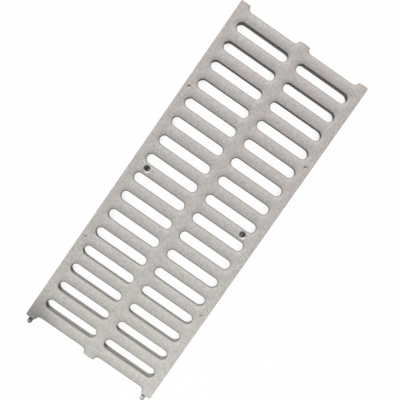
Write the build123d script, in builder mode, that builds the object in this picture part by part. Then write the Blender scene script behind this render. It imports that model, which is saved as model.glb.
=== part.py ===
from build123d import *
import os

# A half-metre drain channel grate, moulded in one piece.
# X runs across the channel, Y along it and Z up.
# The origin is on the underside, midway between the two screw holes. Millimetres.

# Overall size
length = 500.0
width = 200.0
depth = 16.0
plan_corner_radius = 2.0
rim_chamfer = 0.8

# Drain slots, in two columns between three rails, with half a slot left open at each end
slot_width = 13.0
slot_spacing_wanted = 29.4
side_rail_width = 14.0
middle_rail_width = 16.0

# Crown of the bars: how far the deck falls towards a slot, and the flat left between two falls
crown_drop = 1.2
bar_ridge_flat = 1.0

# Hollow underside: a deck with walls that hang from it
deck_thickness = 5.0
rim_wall = 3.0
slot_wall = 3.0
corner_block_length = 20.0
corner_block_width = 14.0

# Screw holes in the middle bar
screw_edge_distance = 23.7
screw_hole_diameter = 5.2
screw_head_diameter = 10.4
screw_head_angle = 90.0
screw_boss_length = 12.0

# Shallow round marks on the side rails
mark_diameter = 5.0
mark_depth = 1.0
mark_edge_distance = 7.5
mark_spacing = 239.0

# Locating pins at one end, and sockets at the other for the next grate's pins
pin_diameter = 6.5
pin_length = 11.0
pin_tip_radius = 2.8
pin_edge_distance = 8.0
pin_height = 8.0
socket_clearance = 0.25
socket_end_gap = 1.0

# How far a cut reaches past the face that it opens
cut_margin = 2.0

# Slot rows: an even number, so that a bar lies across the middle for the screws,
# at a pitch that puts the last half slots exactly on the end faces
slot_rows = 2 * round((length / slot_spacing_wanted - 1) / 2)
slot_pitch = length / (slot_rows + 1)
column_rows = slot_rows + 2
bar_width = slot_pitch - slot_width

# The slots fill what the rails leave of the width
slot_length = (width - middle_rail_width) / 2 - side_rail_width
slot_column_offset = (middle_rail_width + slot_length) / 2

# The deck falls from the ridge of a bar to the lip of a slot on an arc that starts level
crown_reach = (bar_width - bar_ridge_flat) / 2
crown_radius = (crown_reach**2 + crown_drop**2) / (2 * crown_drop)
lip_height = depth - crown_drop

screw_spacing = width - 2 * screw_edge_distance
pin_offset = width / 2 - pin_edge_distance
mark_offset = width / 2 - mark_edge_distance


# Section of the space over a slot, with the arcs that rise from its lips to the deck
def fall_section(slot_size):
    lip = (slot_size / 2, lip_height)
    crown_end = (lip[0] + crown_reach, depth)
    top_corner = (crown_end[0], depth + cut_margin)
    with BuildSketch(mode=Mode.PRIVATE) as section:
        with BuildLine():
            Line((0, lip_height), lip)
            RadiusArc(lip, crown_end, crown_radius)
            Polyline(crown_end, top_corner, (0, top_corner[1]), (0, lip_height))
        make_face()
        mirror(about=Plane.YZ)
    return section.sketch


# One slot, as the solid that it leaves empty: the fall of the deck towards its sides,
# crossed with the fall towards its ends, and the slot itself
with BuildPart() as slot_space:
    with BuildSketch(Plane.YZ):
        add(fall_section(slot_width))
    extrude(amount=slot_length, both=True)
    with BuildSketch(Plane.XZ):
        add(fall_section(slot_length))
    extrude(amount=slot_width, both=True, mode=Mode.INTERSECT)
    with BuildSketch(Plane.XY.offset(-cut_margin)):
        SlotOverall(slot_length, slot_width)
    extrude(amount=depth + cut_margin)

with BuildPart() as grate:
    # Plate with rounded corners and a broken top edge
    with BuildSketch():
        RectangleRounded(width, length, plan_corner_radius)
    extrude(amount=depth)
    chamfer(grate.faces().sort_by(Axis.Z)[-1].edges(), rim_chamfer)

    # Hollow underside, which leaves the rim, walls round each slot, the screw bosses
    # and solid corners for the pins and sockets
    with BuildSketch():
        Rectangle(width - 2 * rim_wall, length - 2 * rim_wall)
        with GridLocations(2 * slot_column_offset, slot_pitch, 2, column_rows):
            Rectangle(slot_length + 2 * slot_wall, slot_width + 2 * slot_wall, mode=Mode.SUBTRACT)
        with GridLocations(screw_spacing, 0, 2, 1):
            Rectangle(screw_boss_length, bar_width, mode=Mode.SUBTRACT)
        with GridLocations(width - corner_block_width, length - corner_block_length, 2, 2):
            Rectangle(corner_block_width, corner_block_length, mode=Mode.SUBTRACT)
    extrude(amount=depth - deck_thickness, mode=Mode.SUBTRACT)

    # Slots, the outermost of which are cut in half by the ends of the plate
    with GridLocations(2 * slot_column_offset, slot_pitch, 2, column_rows):
        add(slot_space.part, mode=Mode.SUBTRACT)

    # Screw holes and marks, cut down from the deck
    with Locations(Plane.XY.offset(depth)):
        with GridLocations(screw_spacing, 0, 2, 1):
            CounterSinkHole(screw_hole_diameter / 2, screw_head_diameter / 2, depth, screw_head_angle)
        with GridLocations(2 * mark_offset, mark_spacing, 2, 2):
            Hole(mark_diameter / 2, mark_depth)

    # Locating pins with rounded tips
    with BuildSketch(Plane.XZ.offset(length / 2)):
        with Locations((0, pin_height)):
            with GridLocations(2 * pin_offset, 0, 2, 1):
                Circle(pin_diameter / 2)
    extrude(amount=pin_length)
    fillet(grate.faces().sort_by(Axis.Y)[:2].edges(), pin_tip_radius)

    # Sockets for the next grate's pins
    with BuildSketch(Plane.XZ.offset(-length / 2)):
        with Locations((0, pin_height)):
            with GridLocations(2 * pin_offset, 0, 2, 1):
                Circle(pin_diameter / 2 + socket_clearance)
    extrude(amount=pin_length + socket_end_gap, mode=Mode.SUBTRACT)

grate.part.label = "grate"

os.makedirs("parts", exist_ok=True)
export_step(grate.part, "parts/grate.step")
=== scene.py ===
import math
import bmesh
import bpy
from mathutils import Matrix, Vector


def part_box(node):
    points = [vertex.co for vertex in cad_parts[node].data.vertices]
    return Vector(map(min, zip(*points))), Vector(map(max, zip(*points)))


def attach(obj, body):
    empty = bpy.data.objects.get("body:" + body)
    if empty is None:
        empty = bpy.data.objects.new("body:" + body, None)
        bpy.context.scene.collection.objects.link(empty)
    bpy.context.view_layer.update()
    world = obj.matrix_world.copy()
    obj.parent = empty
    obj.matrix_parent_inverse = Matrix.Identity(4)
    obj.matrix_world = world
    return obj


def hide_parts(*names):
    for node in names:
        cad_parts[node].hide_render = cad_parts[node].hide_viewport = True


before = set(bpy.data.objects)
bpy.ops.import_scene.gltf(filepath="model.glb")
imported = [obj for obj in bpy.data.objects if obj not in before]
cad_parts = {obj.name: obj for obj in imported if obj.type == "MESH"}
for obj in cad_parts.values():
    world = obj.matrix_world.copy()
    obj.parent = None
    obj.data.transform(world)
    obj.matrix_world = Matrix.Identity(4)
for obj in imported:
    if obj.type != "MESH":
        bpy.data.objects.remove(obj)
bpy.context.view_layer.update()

# A moulded drain channel grate on a white studio floor.
# Everything is in metres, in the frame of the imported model, and mm turns the sizes below
# into metres.
mm = 0.001
tiny = 0.002 * mm        # how near two places are before they count as the same one
quarterTurn = math.radians(90)

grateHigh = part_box("grate")[1]
halfWidth = grateHigh.x
halfLength = grateHigh.y          # the pins reach further, but only past the other end
plateDepth = grateHigh.z
plateWidth = 2 * halfWidth
plateLength = 2 * halfLength


# Small helpers for working in edit mode

def deselectAll():
    bpy.ops.object.select_all(action="DESELECT")
    bpy.context.view_layer.objects.active = None


def makeActive(piece):
    deselectAll()
    piece.select_set(True)
    bpy.context.view_layer.objects.active = piece


def editPiece(piece):
    makeActive(piece)
    bpy.ops.object.mode_set(mode="EDIT")


def leaveEdit():
    bpy.ops.object.mode_set(mode="OBJECT")
    return bpy.context.object


def pickVerts(test):
    # selects the vertices whose place passes the test, and the edges and faces between them
    bpy.ops.mesh.select_mode(type="VERT")
    mesh = bmesh.from_edit_mesh(bpy.context.object.data)
    for vert in mesh.verts:
        vert.select = test(vert.co)
    mesh.select_flush_mode()
    bmesh.update_edit_mesh(bpy.context.object.data)


def pickEdgesIf(wanted):
    bpy.ops.mesh.select_mode(type="EDGE")
    mesh = bmesh.from_edit_mesh(bpy.context.object.data)
    for face in mesh.faces:
        face.select = False
    for edge in mesh.edges:
        edge.select = wanted(edge)
    bmesh.update_edit_mesh(bpy.context.object.data)


def bothEnds(edge, test):
    return test(edge.verts[0].co) and test(edge.verts[1].co)


def pickEdges(test, openOnly=False):
    # selects the edges whose two ends both pass the test, or of them only those that lack a face
    pickEdgesIf(lambda edge: bothEnds(edge, test) and not (openOnly and edge.is_manifold))


def near(value, target):
    return abs(value - target) < tiny


def pull(x=0, y=0, z=0):
    bpy.ops.mesh.extrude_region_move(TRANSFORM_OT_translate={"value": (x, y, z)})


def joinPieces(kept, others):
    makeActive(kept)
    for other in others:
        other.select_set(True)
    bpy.ops.object.join()
    return kept


def cut(piece, cutter, operation="DIFFERENCE", overlapping=False):
    makeActive(piece)
    bpy.ops.object.modifier_add(type="BOOLEAN")
    boolean = piece.modifiers[-1]
    boolean.operation = operation
    boolean.solver = "EXACT"
    boolean.use_self = overlapping
    boolean.object = cutter
    bpy.ops.object.modifier_apply(modifier=boolean.name)
    bpy.data.objects.remove(cutter)


# The deck round one slot

# The width and the rails are those of the sharp corner between wall and deck. Its rounding
# and the draft of the wall below leave a clear slot of 13 mm.
slot = {
    "width": 12.6 * mm,
    "rows": 16,
    "sideRail": 14.2 * mm,
    "middleRail": 16.4 * mm,
    "crownDrop": 1.2 * mm,         # how far the deck falls from a bar's ridge to a slot
    "ridgeFlat": 1.0 * mm,
    "lipRadius": 1.2 * mm,
    "wallDraft": 2.8 * mm,         # how much wider a slot is at the underside, on each side
    "turnSteps": 12,               # faces round a quarter of a slot's end
    "fallSteps": 4,
    "lipSteps": 6,
    "wallRow": 2.2,                # in lip radii, a row that keeps the lip's shading off the wall
    "fallRow": 1.7,                # in lip radii, the fall's first row, clear of the rounded edges
}
slotPitch = plateLength / (slot["rows"] + 1)
slotLength = (plateWidth - slot["middleRail"]) / 2 - slot["sideRail"]
columnOffset = (slot["middleRail"] + slotLength) / 2
slotRadius = slot["width"] / 2
slotStraight = slotLength - slot["width"]
fallReach = (slotPitch - slot["width"] - slot["ridgeFlat"]) / 2
fallRadius = (fallReach**2 + slot["crownDrop"]**2) / (2 * slot["crownDrop"])
lipHeight = plateDepth - slot["crownDrop"]


def slotProfile():
    # from the foot of the wall up to the lip, then out along the fall of the deck
    lipX = slotStraight / 2 + slotRadius
    wallSlope = slot["wallDraft"] / lipHeight
    rowDrop = slot["wallRow"] * slot["lipRadius"]
    firstOut = slot["fallRow"] * slot["lipRadius"]
    points = [
        (lipX + slot["wallDraft"], 0),
        (lipX + wallSlope * rowDrop, lipHeight - rowDrop),
        (lipX, lipHeight),
    ]
    for step in range(slot["fallSteps"]):
        out = firstOut + (fallReach - firstOut) * step / (slot["fallSteps"] - 1)
        rest = fallReach - out
        drop = fallRadius - math.sqrt(fallRadius**2 - rest**2)
        points.append((lipX + out, plateDepth - drop))
    return points


def modelSlotSurround():
    # a quarter of it is drawn and spun, and mirrored both ways
    points = slotProfile()
    deselectAll()
    bpy.ops.mesh.primitive_plane_add(size=mm, location=(points[0][0], 0, points[0][1]))
    surround = bpy.context.object
    surround.name = "slotSurround"
    bpy.ops.object.transform_apply(location=True, rotation=True, scale=True)
    editPiece(surround)
    bpy.ops.mesh.select_all(action="SELECT")
    bpy.ops.mesh.merge(type="CENTER")
    for (startX, startZ), (endX, endZ) in zip(points, points[1:]):
        pull(x=endX - startX, z=endZ - startZ)
    bpy.ops.mesh.select_all(action="SELECT")
    bpy.ops.mesh.spin(
        steps=slot["turnSteps"], angle=quarterTurn,
        center=(slotStraight / 2, 0, 0), axis=(0, 0, 1)
    )
    pickEdges(lambda place: near(place.x, slotStraight / 2))
    bpy.ops.mesh.extrude_edges_move(TRANSFORM_OT_translate={"value": (-slotStraight / 2, 0, 0)})
    leaveEdit()
    bpy.ops.object.modifier_add(type="MIRROR")
    mirror = surround.modifiers[-1]
    mirror.use_axis = (True, True, False)
    mirror.merge_threshold = tiny
    bpy.ops.object.modifier_apply(modifier=mirror.name)
    editPiece(surround)
    pickEdges(lambda place: near(place.z, lipHeight))
    bpy.ops.mesh.bevel(
        offset=slot["lipRadius"], segments=slot["lipSteps"], affect="EDGES", clamp_overlap=False
    )
    leaveEdit()
    return surround


def repeatOnSlots(piece):
    # two columns of the piece, whose first and last rows lie with their middle on the ends
    editPiece(piece)
    bpy.ops.mesh.select_all(action="SELECT")
    bpy.ops.transform.translate(value=(-columnOffset, -halfLength, 0))
    leaveEdit()
    for offset, count in (((2 * columnOffset, 0, 0), 2), ((0, slotPitch, 0), slot["rows"] + 2)):
        bpy.ops.object.modifier_add(type="ARRAY")
        array = piece.modifiers[-1]
        array.use_relative_offset = False
        array.use_constant_offset = True
        array.constant_offset_displace = offset
        array.count = count
        bpy.ops.object.modifier_apply(modifier=array.name)


def trimEnds(piece):
    editPiece(piece)
    pickVerts(lambda place: abs(place.y) > halfLength + tiny)
    bpy.ops.mesh.delete(type="VERT")
    leaveEdit()


slotSurround = modelSlotSurround()
repeatOnSlots(slotSurround)
trimEnds(slotSurround)
print("slots:", len(slotSurround.data.polygons), "faces")


# The plate round the slots

plate = {
    "cornerRadius": 2.0 * mm,
    "cornerSteps": 6,
    "edgeRadius": 0.7 * mm,
    "edgeSteps": 3,
    "sharpTurn": math.radians(40),      # an edge that turns by more is rounded
    "smoothTurn": math.radians(32),     # an edge that turns by less is shaded smooth
}
cornerStart = halfWidth - plate["cornerRadius"]

# the border is as wide as the first row of faces at a slot's end, so that the two meet
borderWidth = (slotRadius + fallReach) * math.sin(quarterTurn / slot["turnSteps"])

# between the half slots at an end the plate runs out in three tabs, from this x to that
tabs = ((-cornerStart, -columnOffset), (-columnOffset, columnOffset), (columnOffset, cornerStart))


def modelBorder():
    # a ring round the top, opened at both ends where the half slots come through
    deselectAll()
    bpy.ops.mesh.primitive_plane_add(size=1, location=(0, 0, plateDepth))
    border = bpy.context.object
    border.scale = (plateWidth, plateLength, 1)
    bpy.ops.object.transform_apply(location=True, rotation=True, scale=True)
    editPiece(border)
    bpy.ops.mesh.select_all(action="SELECT")
    bpy.ops.mesh.bevel(
        offset=plate["cornerRadius"], segments=plate["cornerSteps"],
        affect="VERTICES", clamp_overlap=False
    )
    bpy.ops.mesh.select_all(action="SELECT")
    bpy.ops.mesh.inset(thickness=borderWidth)
    bpy.ops.mesh.delete(type="ONLY_FACE")
    innerLength = halfLength - borderWidth

    def betweenCorners(place):
        return abs(place.x) < cornerStart + tiny

    pickVerts(lambda place: betweenCorners(place) and abs(place.y) > innerLength - tiny)
    bpy.ops.mesh.delete(type="ONLY_FACE")
    for row in (halfLength, innerLength):
        pickEdges(lambda place: betweenCorners(place) and near(abs(place.y), row))
        bpy.ops.mesh.delete(type="EDGE")
    leaveEdit()
    return border


def closePlate(piece):
    # tabs, deck, sides, end faces and underside, one after the other
    def onDeck(place):
        return near(place.z, plateDepth)

    def insideBorder(place):
        across = abs(place.x) < halfWidth - borderWidth + tiny
        along = abs(place.y) < halfLength - borderWidth + tiny
        return onDeck(place) and across and along

    def inTab(place, tab):
        return tab[0] - tiny < place.x < tab[1] + tiny

    def onTabTop(place, end, tab):
        return onDeck(place) and inTab(place, tab) and abs(place.y - end) < borderWidth + tiny

    def onTabEnd(place, end, tab):
        return near(place.y, end) and inTab(place, tab)

    editPiece(piece)
    for end in (-halfLength, halfLength):
        for tab in tabs:
            pickVerts(lambda place: onTabTop(place, end, tab))
            bpy.ops.mesh.edge_face_add()
    pickEdges(insideBorder, openOnly=True)
    bpy.ops.mesh.fill(use_beauty=True)
    pickEdges(lambda place: onDeck(place) and abs(place.x) > cornerStart - tiny, openOnly=True)
    bpy.ops.mesh.extrude_edges_move(TRANSFORM_OT_translate={"value": (0, 0, -plateDepth)})
    for end in (-halfLength, halfLength):
        for tab in tabs:
            pickVerts(lambda place: near(place.z, 0) and onTabEnd(place, end, tab))
            bpy.ops.mesh.edge_face_add()
            pickEdges(lambda place: onTabEnd(place, end, tab))
            bpy.ops.mesh.edge_face_add()
    pickEdges(lambda place: near(place.z, 0), openOnly=True)
    bpy.ops.mesh.fill(use_beauty=True)
    bpy.ops.mesh.select_all(action="SELECT")
    bpy.ops.mesh.remove_doubles(threshold=tiny)
    bpy.ops.mesh.normals_make_consistent(inside=False)
    leaveEdit()


def roundPlateEdges(piece):
    # all sharp edges but those of the underside, where the hollow is cut next
    def sharpAbove(edge):
        underneath = bothEnds(edge, lambda place: near(place.z, 0))
        return edge.is_manifold and edge.calc_face_angle() > plate["sharpTurn"] and not underneath

    editPiece(piece)
    pickEdgesIf(sharpAbove)
    bpy.ops.mesh.bevel(
        offset=plate["edgeRadius"], segments=plate["edgeSteps"],
        affect="EDGES", clamp_overlap=False
    )
    leaveEdit()


grate = joinPieces(slotSurround, [modelBorder()])
grate.name = "mouldedGrate"
closePlate(grate)
roundPlateEdges(grate)
print("plate:", len(grate.data.polygons), "faces")


# What is cut from below, the holes and the pins

hollow = {
    "deckThickness": 5.0 * mm,
    "rimWall": 3.0 * mm,
    "slotWall": 4.2 * mm,          # at the lip; a slot's draft leaves a third of it at the foot
    "cornerBlock": (14.0 * mm, 20.0 * mm),      # across and along
    "screwBossLength": 12.0 * mm,
}
holes = {
    "screwFromEdge": 23.7 * mm,
    "screwRadius": 2.6 * mm,
    "screwHeadRadius": 5.2 * mm,
    "markFromEdge": 7.5 * mm,
    "markRow": 119.5 * mm,         # from the middle of the length
    "markRadius": 2.5 * mm,
    "markDepth": 1.0 * mm,
}
pins = {
    "fromEdge": 8.0 * mm,
    "height": 8.0 * mm,
    "radius": 3.25 * mm,
    "length": 11.0 * mm,
    "root": 2.0 * mm,              # how deep a pin starts inside the plate
    "tipRadius": 2.8 * mm,
    "tipSteps": 6,
    "socketRadius": 3.5 * mm,
    "socketDepth": 12.0 * mm,
}
roundSteps = 48          # faces round a pin or a hole
overshoot = 1.0 * mm     # how far a cutter stands out of the face that it opens
screwX = halfWidth - holes["screwFromEdge"]
markX = halfWidth - holes["markFromEdge"]
pinX = halfWidth - pins["fromEdge"]


def modelBlock(name, low, high):
    deselectAll()
    middle = (Vector(low) + Vector(high)) / 2
    bpy.ops.mesh.primitive_cube_add(size=1, location=middle)
    block = bpy.context.object
    block.name = name
    block.scale = Vector(high) - Vector(low)
    bpy.ops.object.transform_apply(location=True, rotation=True, scale=True)
    return block


def modelRod(name, radius, start, finish):
    # a round rod between two places on a line along Y or Z
    deselectAll()
    start = Vector(start)
    finish = Vector(finish)
    alongY = abs(finish.y - start.y) > tiny
    bpy.ops.mesh.primitive_cylinder_add(
        vertices=roundSteps, radius=radius, depth=(finish - start).length,
        location=(start + finish) / 2, rotation=(quarterTurn if alongY else 0, 0, 0)
    )
    rod = bpy.context.object
    rod.name = name
    bpy.ops.object.transform_apply(location=True, rotation=True, scale=True)
    return rod


def copiesAt(piece, moves):
    # the piece and a copy of it, with a mesh of its own, for each move
    copies = [piece]
    for move in moves:
        makeActive(piece)
        bpy.ops.object.duplicate(linked=False)
        editPiece(bpy.context.object)
        bpy.ops.mesh.select_all(action="SELECT")
        bpy.ops.transform.translate(value=move)
        copies.append(leaveEdit())
    return copies


def otherSide(x):
    # the move to the mirrored place on the left
    return [(-2 * x, 0, 0)]


def otherCorners(across, along):
    # the moves to the three other corners of a rectangle
    return [(-across, 0, 0), (0, -along, 0), (-across, -along, 0)]


def modelHollow():
    # the space under the deck: one block, less the slots' walls, the bosses and the corners
    ceiling = plateDepth - hollow["deckThickness"]
    insideX = halfWidth - hollow["rimWall"]
    insideY = halfLength - hollow["rimWall"]
    space = modelBlock("hollow", (-insideX, -insideY, -overshoot), (insideX, insideY, ceiling))
    low = -2 * overshoot
    high = ceiling + overshoot
    wallX = slotLength / 2 + hollow["slotWall"]
    wallY = slotRadius + hollow["slotWall"]
    walls = modelBlock("slotWalls", (-wallX, -wallY, low), (wallX, wallY, high))
    repeatOnSlots(walls)
    bossX = hollow["screwBossLength"] / 2
    bossY = (slotPitch - slot["width"]) / 2
    boss = modelBlock("boss", (screwX - bossX, -bossY, low), (screwX + bossX, bossY, high))
    cornerX, cornerY = hollow["cornerBlock"]
    corner = modelBlock(
        "corner", (halfWidth - cornerX, halfLength - cornerY, low), (halfWidth, halfLength, high)
    )
    solids = copiesAt(boss, otherSide(screwX))
    solids += copiesAt(corner, otherCorners(plateWidth - cornerX, plateLength - cornerY))
    cut(space, joinPieces(walls, solids), overlapping=True)
    return space


def modelScrewHole():
    # a straight hole, opened to a cone for the screw's head
    headDepth = holes["screwHeadRadius"] - holes["screwRadius"]
    coneStart = plateDepth - headDepth
    hole = modelRod(
        "screwHole", holes["screwRadius"], (screwX, 0, -overshoot), (screwX, 0, coneStart)
    )
    editPiece(hole)
    pickVerts(lambda place: near(place.z, coneStart))
    pull(z=headDepth + overshoot)
    widening = (holes["screwHeadRadius"] + overshoot) / holes["screwRadius"]
    bpy.ops.transform.resize(value=(widening, widening, 1), center_override=(screwX, 0, 0))
    return leaveEdit()


def modelMark():
    bottom = (markX, holes["markRow"], plateDepth - holes["markDepth"])
    return modelRod(
        "mark", holes["markRadius"], bottom, (markX, holes["markRow"], plateDepth + overshoot)
    )


def modelSocket():
    inner = (pinX, halfLength - pins["socketDepth"], pins["height"])
    return modelRod(
        "socket", pins["socketRadius"], inner, (pinX, halfLength + overshoot, pins["height"])
    )


def modelPin():
    root = (pinX, -halfLength + pins["root"], pins["height"])
    tip = -halfLength - pins["length"]
    pin = modelRod("pin", pins["radius"], root, (pinX, tip, pins["height"]))
    editPiece(pin)
    pickEdges(lambda place: near(place.y, tip))
    bpy.ops.mesh.bevel(
        offset=pins["tipRadius"], segments=pins["tipSteps"], affect="EDGES", clamp_overlap=False
    )
    return leaveEdit()


screwHole = modelScrewHole()
mark = modelMark()
socket = modelSocket()
pin = modelPin()
hollowSpace = modelHollow()

cutters = copiesAt(screwHole, otherSide(screwX))
cutters += copiesAt(mark, otherCorners(2 * markX, 2 * holes["markRow"]))
cutters += copiesAt(socket, otherSide(pinX))
bothPins = copiesAt(pin, otherSide(pinX))
cut(grate, joinPieces(hollowSpace, cutters))
cut(grate, joinPieces(pin, bothPins[1:]), operation="UNION")
print("holes, hollow and pins:", len(grate.data.polygons), "faces")


def smoothSurface(piece):
    makeActive(piece)
    bpy.ops.object.shade_smooth_by_angle(angle=plate["smoothTurn"])
    bpy.ops.object.modifier_add(type="WEIGHTED_NORMAL")
    weighted = piece.modifiers[-1]
    weighted.keep_sharp = True
    bpy.ops.object.modifier_apply(modifier=weighted.name)


smoothSurface(grate)


# Materials

mixFirst, mixSecond, mixResult = 6, 7, 2       # a Mix node's sockets when it mixes colours


class Wire:
    # one value inside a material: a sum written with it adds the Math nodes that work it out
    def __init__(self, tree, socket):
        self.tree = tree
        self.socket = socket

    def combine(self, operation, first, second):
        node = self.tree.nodes.new("ShaderNodeMath")
        node.operation = operation
        for place, value in zip(node.inputs, (first, second)):
            if isinstance(value, Wire):
                self.tree.links.new(value.socket, place)
            else:
                place.default_value = value
        return Wire(self.tree, node.outputs[0])

    def __add__(self, other):
        return self.combine("ADD", self, other)

    __radd__ = __add__

    def __sub__(self, other):
        return self.combine("SUBTRACT", self, other)

    def __rsub__(self, other):
        return self.combine("SUBTRACT", other, self)

    def __mul__(self, other):
        return self.combine("MULTIPLY", self, other)

    __rmul__ = __mul__

    def __abs__(self):
        return self.combine("ABSOLUTE", self, 0)


class Finish:
    # a material, or a world, that is put together node by node
    def __init__(self, tree):
        self.tree = tree
        self.tree.nodes.clear()

    def add(self, kind, settings=None, inputs=None, output=0):
        node = self.tree.nodes.new(kind)
        for setting, value in (settings or {}).items():
            setattr(node, setting, value)
        for name, value in (inputs or {}).items():
            if isinstance(value, Wire):
                self.tree.links.new(value.socket, node.inputs[name])
            else:
                node.inputs[name].default_value = value
        return Wire(self.tree, node.outputs[output]) if len(node.outputs) else None

    def noise(self, place, size, detail=2.0, roughness=0.5):
        return self.add(
            "ShaderNodeTexNoise",
            inputs={"Vector": place, "Scale": 1 / size, "Detail": detail, "Roughness": roughness}
        )

    def larger(self, first, second):
        return self.add("ShaderNodeMath", {"operation": "MAXIMUM"}, {0: first, 1: second})

    def ramp(self, value, start, end, startLevel, endLevel):
        # a smooth passage from one level to the other while the value goes from start to end
        return self.add(
            "ShaderNodeMapRange", {"interpolation_type": "SMOOTHSTEP"},
            {"Value": value, "From Min": start, "From Max": end,
             "To Min": startLevel, "To Max": endLevel}
        )

    def fade(self, value, start, end, strength=1.0):
        # the strength up to the start, and nothing from the end on
        return self.ramp(value, start, end, strength, 0.0)

    def distance(self, place, other):
        return self.add(
            "ShaderNodeVectorMath", {"operation": "DISTANCE"}, {0: place, 1: other}, "Value"
        )

    def blend(self, mask, first, second, kind="MIX"):
        return self.add(
            "ShaderNodeMix", {"data_type": "RGBA", "blend_type": kind},
            {"Factor": mask, mixFirst: first, mixSecond: second}, mixResult
        )


def newMaterial(name):
    material = bpy.data.materials.new(name)
    material.use_nodes = True
    return material, Finish(material.node_tree)


plastic = {
    "warmGrey": (0.503, 0.460, 0.440, 1),
    "coolGrey": (0.482, 0.477, 0.441, 1),
    "blotchSize": 36 * mm,
    "mottleSize": 5 * mm,
    "grainSize": 1.4 * mm,
    "blotchStrength": 1.2,
    "tintSlope": 0.3,              # how much warmer the grey turns towards the sockets
    "tintMiddle": -0.2,
    "mottleStrength": 0.52,
    "grainStrength": 1.0,
    "roughness": 0.62,
    "mottleDullness": 0.12,
    "grainDullness": 0.1,
    "gloss": 0.25,
    "refraction": 1.46,
    "mottleRelief": 0.6,
    "grainRelief": 0.7,
    "reliefStrength": 0.35,
    "reliefDepth": 0.05 * mm,
}
noiseMiddle = 0.5        # a noise texture's values lie round it

# painted shade on the slots' lips and walls and at one corner, and a painted shadow in each screw
# hole
paintedShading = {
    "shadeGrey": (0.17, 0.16, 0.147, 1),
    "shadeGoneFrom": 0.7 * mm,         # the painted shade is gone this far above the lips of the slots
    "darkestFrom": 0.3 * mm,      # and darkest from this far below them
    "lips": 1.05,
    "foot": 0.25,                  # how much of it is left at the foot of the walls
    "halfWidth": 89 * mm,          # the outer sides get none of the painted shade
    "halfLength": 248.5 * mm,
    "outerFade": 1.5 * mm,
    "screwClearance": 1.2,         # in radii of a screw's head, where the lips' painted shade begins
    # painted shade that darkens the corner at the root of the left pin
    "corner": 0.76,
    "shadedCorner": (-94 * mm, -250 * mm, 10 * mm),      # at the root of the left pin
    "cornerShadeReach": 50 * mm,
    "faintest": 0.6,               # the mottle makes the painted shade lighter and darker by patches
    "patches": 0.8,
    # a painted shadow on the upper side of each screw hole's cone
    "holeShadowGrey": (0.09, 0.085, 0.075, 1),
    "holeShadowPlace": (-1.2 * mm, 1.6 * mm, 0),      # from the middle of each screw hole
    "holeShadowReach": 4.9 * mm,
    "holeShadowCore": 0.8,              # the share of its reach that it covers fully
    "holeShadow": 0.8,
}


def greyPlastic(finish, place, y, mottle, grain):
    # grey with a faint change of tint in blotches and along the grate, and a mottled tone
    blotches = finish.noise(place, plastic["blotchSize"], detail=3)
    slope = plastic["tintSlope"] / halfLength
    cool = blotches * plastic["blotchStrength"] - y * slope + plastic["tintMiddle"]
    tint = finish.blend(cool, plastic["warmGrey"], plastic["coolGrey"])
    mottled = (mottle - noiseMiddle) * plastic["mottleStrength"]
    grained = (grain - noiseMiddle) * plastic["grainStrength"]
    tone = mottled + grained + 1
    tones = finish.add("ShaderNodeCombineXYZ", inputs={"X": tone, "Y": tone, "Z": tone})
    return finish.blend(1.0, tint, tones, kind="MULTIPLY")


def paintShade(finish, unshaded, place, x, y, z, mottle):
    # painted shade on the walls and lips of the slots and on one corner, and a painted shadow in
    # the screw holes
    # painted shade on the lips and walls of the slots, weaker towards the walls' foot
    lips = finish.fade(
        z, lipHeight - paintedShading["darkestFrom"], lipHeight + paintedShading["shadeGoneFrom"], paintedShading["lips"]
    )
    outside = finish.larger(abs(x) - paintedShading["halfWidth"], abs(y) - paintedShading["halfLength"])
    lips = lips * finish.fade(outside, 0.0, paintedShading["outerFade"])
    lips = lips * (z * ((1 - paintedShading["foot"]) / lipHeight) + paintedShading["foot"])

    side = finish.add("ShaderNodeMath", {"operation": "SIGN"}, {0: x})
    fromScrew = finish.add("ShaderNodeCombineXYZ", inputs={"X": x - side * screwX, "Y": y})
    headRadius = holes["screwHeadRadius"]
    nearScrew = finish.fade(
        finish.distance(fromScrew, (0, 0, 0)), headRadius, paintedShading["screwClearance"] * headRadius
    )
    lips = lips * (1 - nearScrew)
    # painted shadow on the upper side of each screw hole
    holeShadow = finish.fade(
        finish.distance(fromScrew, paintedShading["holeShadowPlace"]),
        paintedShading["holeShadowCore"] * paintedShading["holeShadowReach"], paintedShading["holeShadowReach"], paintedShading["holeShadow"]
    )
    # painted shade darkening one corner
    corner = finish.fade(
        finish.distance(place, paintedShading["shadedCorner"]), 0.0, paintedShading["cornerShadeReach"], paintedShading["corner"]
    )
    shadeAmount = finish.larger(lips, corner) * (paintedShading["faintest"] + paintedShading["patches"] * mottle)
    return finish.blend(holeShadow, finish.blend(shadeAmount, unshaded, paintedShading["shadeGrey"]), paintedShading["holeShadowGrey"])


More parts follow.
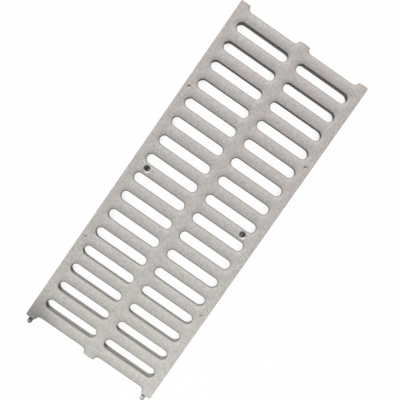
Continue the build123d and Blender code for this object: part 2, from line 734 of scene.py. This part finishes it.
def mouldedPlastic():
    material, finish = newMaterial("mouldedPlastic")
    place = finish.add("ShaderNodeTexCoord", output="Object")
    x, y, z = [
        finish.add("ShaderNodeSeparateXYZ", inputs={"Vector": place}, output=axis) for axis in "XYZ"
    ]
    mottle = finish.noise(place, plastic["mottleSize"], detail=4, roughness=0.6)
    grain = finish.noise(place, plastic["grainSize"], detail=2, roughness=0.7)
    unshaded = greyPlastic(finish, place, y, mottle, grain)
    colour = paintShade(finish, unshaded, place, x, y, z, mottle)
    dullMottle = (mottle - noiseMiddle) * plastic["mottleDullness"]
    dullGrain = (grain - noiseMiddle) * plastic["grainDullness"]
    dull = dullMottle + dullGrain + plastic["roughness"]
    relief = grain * plastic["grainRelief"] + mottle * plastic["mottleRelief"]
    bumps = finish.add("ShaderNodeBump", inputs={
        "Strength": plastic["reliefStrength"], "Distance": plastic["reliefDepth"], "Height": relief
    })
    shader = finish.add("ShaderNodeBsdfPrincipled", inputs={
        "Base Color": colour, "Roughness": dull, "Normal": bumps,
        "IOR": plastic["refraction"], "Specular IOR Level": plastic["gloss"]
    })
    finish.add("ShaderNodeOutputMaterial", inputs={"Surface": shader})
    return material


grate.data.materials.clear()
grate.data.materials.append(mouldedPlastic())
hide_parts("grate")
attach(grate, "root")
print("finish: moulded plastic")


# Floor, lights and camera

studio = {
    "floorSize": 6.0,
    "floorColour": (0.9, 0.9, 0.9, 1),
    "cloudColour": (0.86, 0.86, 0.86, 1),
    "cloudSize": 0.5,
    "cloudStrength": 0.3,
    "whiteShare": 0.985,           # how much of the floor is plain white to the camera
    "shadeReach": 60 * mm,
    "shadeSamples": 16,
    "shadedBelow": 0.02,           # the share of open sky where the floor's shade is full
    "whiteAbove": 0.17,            # and where it is gone
    "worldStrength": 0.02,
    "keyPlace": (-6.6, 9.6, 7.9),
    "keySize": 3.0,
    "keyPower": 2960.0,
    "fillPlace": (0.24, -0.44, 0.30),
    "fillSize": 0.35,
    "fillPower": 0.85,
    "cameraPlace": (-3.29 * mm, 23.83 * mm, 539.8 * mm),
    "cameraTurn": (-1.948, 0.458, 34.836),
    "cameraNearest": 10 * mm,
    "lens": 36.0,
    "sensor": 36.0,
}
white = (1, 1, 1, 1)


def openRays(finish):
    # 1 for what the camera sees straight, in a gloss or through something clear
    seen, mirrored, through = [
        finish.add("ShaderNodeLightPath", output=kind)
        for kind in ("Is Camera Ray", "Is Glossy Ray", "Is Transmission Ray")
    ]
    return finish.add(
        "ShaderNodeMath", {"operation": "ADD", "use_clamp": True}, {0: seen + mirrored, 1: through}
    )


def whiteFloor():
    # plain white where the camera sees open floor, and shaded where little light gets in
    material, finish = newMaterial("whiteFloor")
    place = finish.add("ShaderNodeTexCoord", output="Object")
    cloud = finish.noise(place, studio["cloudSize"]) * studio["cloudStrength"]
    colour = finish.blend(cloud, studio["floorColour"], studio["cloudColour"])
    paint = finish.add("ShaderNodeBsdfDiffuse", inputs={"Color": colour})
    plainWhite = finish.add("ShaderNodeEmission", inputs={"Color": white, "Strength": 1.0})
    openness = finish.add(
        "ShaderNodeAmbientOcclusion", {"samples": studio["shadeSamples"]},
        {"Distance": studio["shadeReach"]}, "AO"
    )
    reached = finish.ramp(openness, studio["shadedBelow"], studio["whiteAbove"], 0.0, 1.0)
    share = reached * openRays(finish) * studio["whiteShare"]
    shown = finish.add("ShaderNodeMixShader", inputs={0: share, 1: paint, 2: plainWhite})
    finish.add("ShaderNodeOutputMaterial", inputs={"Surface": shown})
    return material


deselectAll()
bpy.ops.mesh.primitive_plane_add(size=studio["floorSize"], location=(0, 0, 0))
floor = bpy.context.object
floor.name = "floor"
floor.data.materials.append(whiteFloor())

world = bpy.data.worlds.new("studioWorld")
world.use_nodes = True
bpy.context.scene.world = world
sky = Finish(world.node_tree)
strength = openRays(sky) * (1 - studio["worldStrength"]) + studio["worldStrength"]
glow = sky.add("ShaderNodeBackground", inputs={"Color": white, "Strength": strength})
sky.add("ShaderNodeOutputWorld", inputs={"Surface": glow})


def hangLight(name):
    # a round soft light that looks at the middle of the grate
    place = Vector(studio[name + "Place"])
    turn = (-place).to_track_quat("-Z", "Y").to_euler()
    bpy.ops.object.light_add(type="AREA", location=place, rotation=turn)
    light = bpy.context.object
    light.name = name + "Light"
    light.data.shape = "DISK"
    light.data.size = studio[name + "Size"]
    light.data.energy = studio[name + "Power"]


hangLight("key")
hangLight("fill")

bpy.ops.object.camera_add(
    location=studio["cameraPlace"], rotation=[math.radians(turn) for turn in studio["cameraTurn"]]
)
camera = bpy.context.object
camera.data.lens = studio["lens"]
camera.data.sensor_width = studio["sensor"]
camera.data.clip_start = studio["cameraNearest"]
bpy.context.scene.camera = camera
bpy.context.scene.view_settings.view_transform = "Standard"
print("studio: floor, key light, fill light and camera")
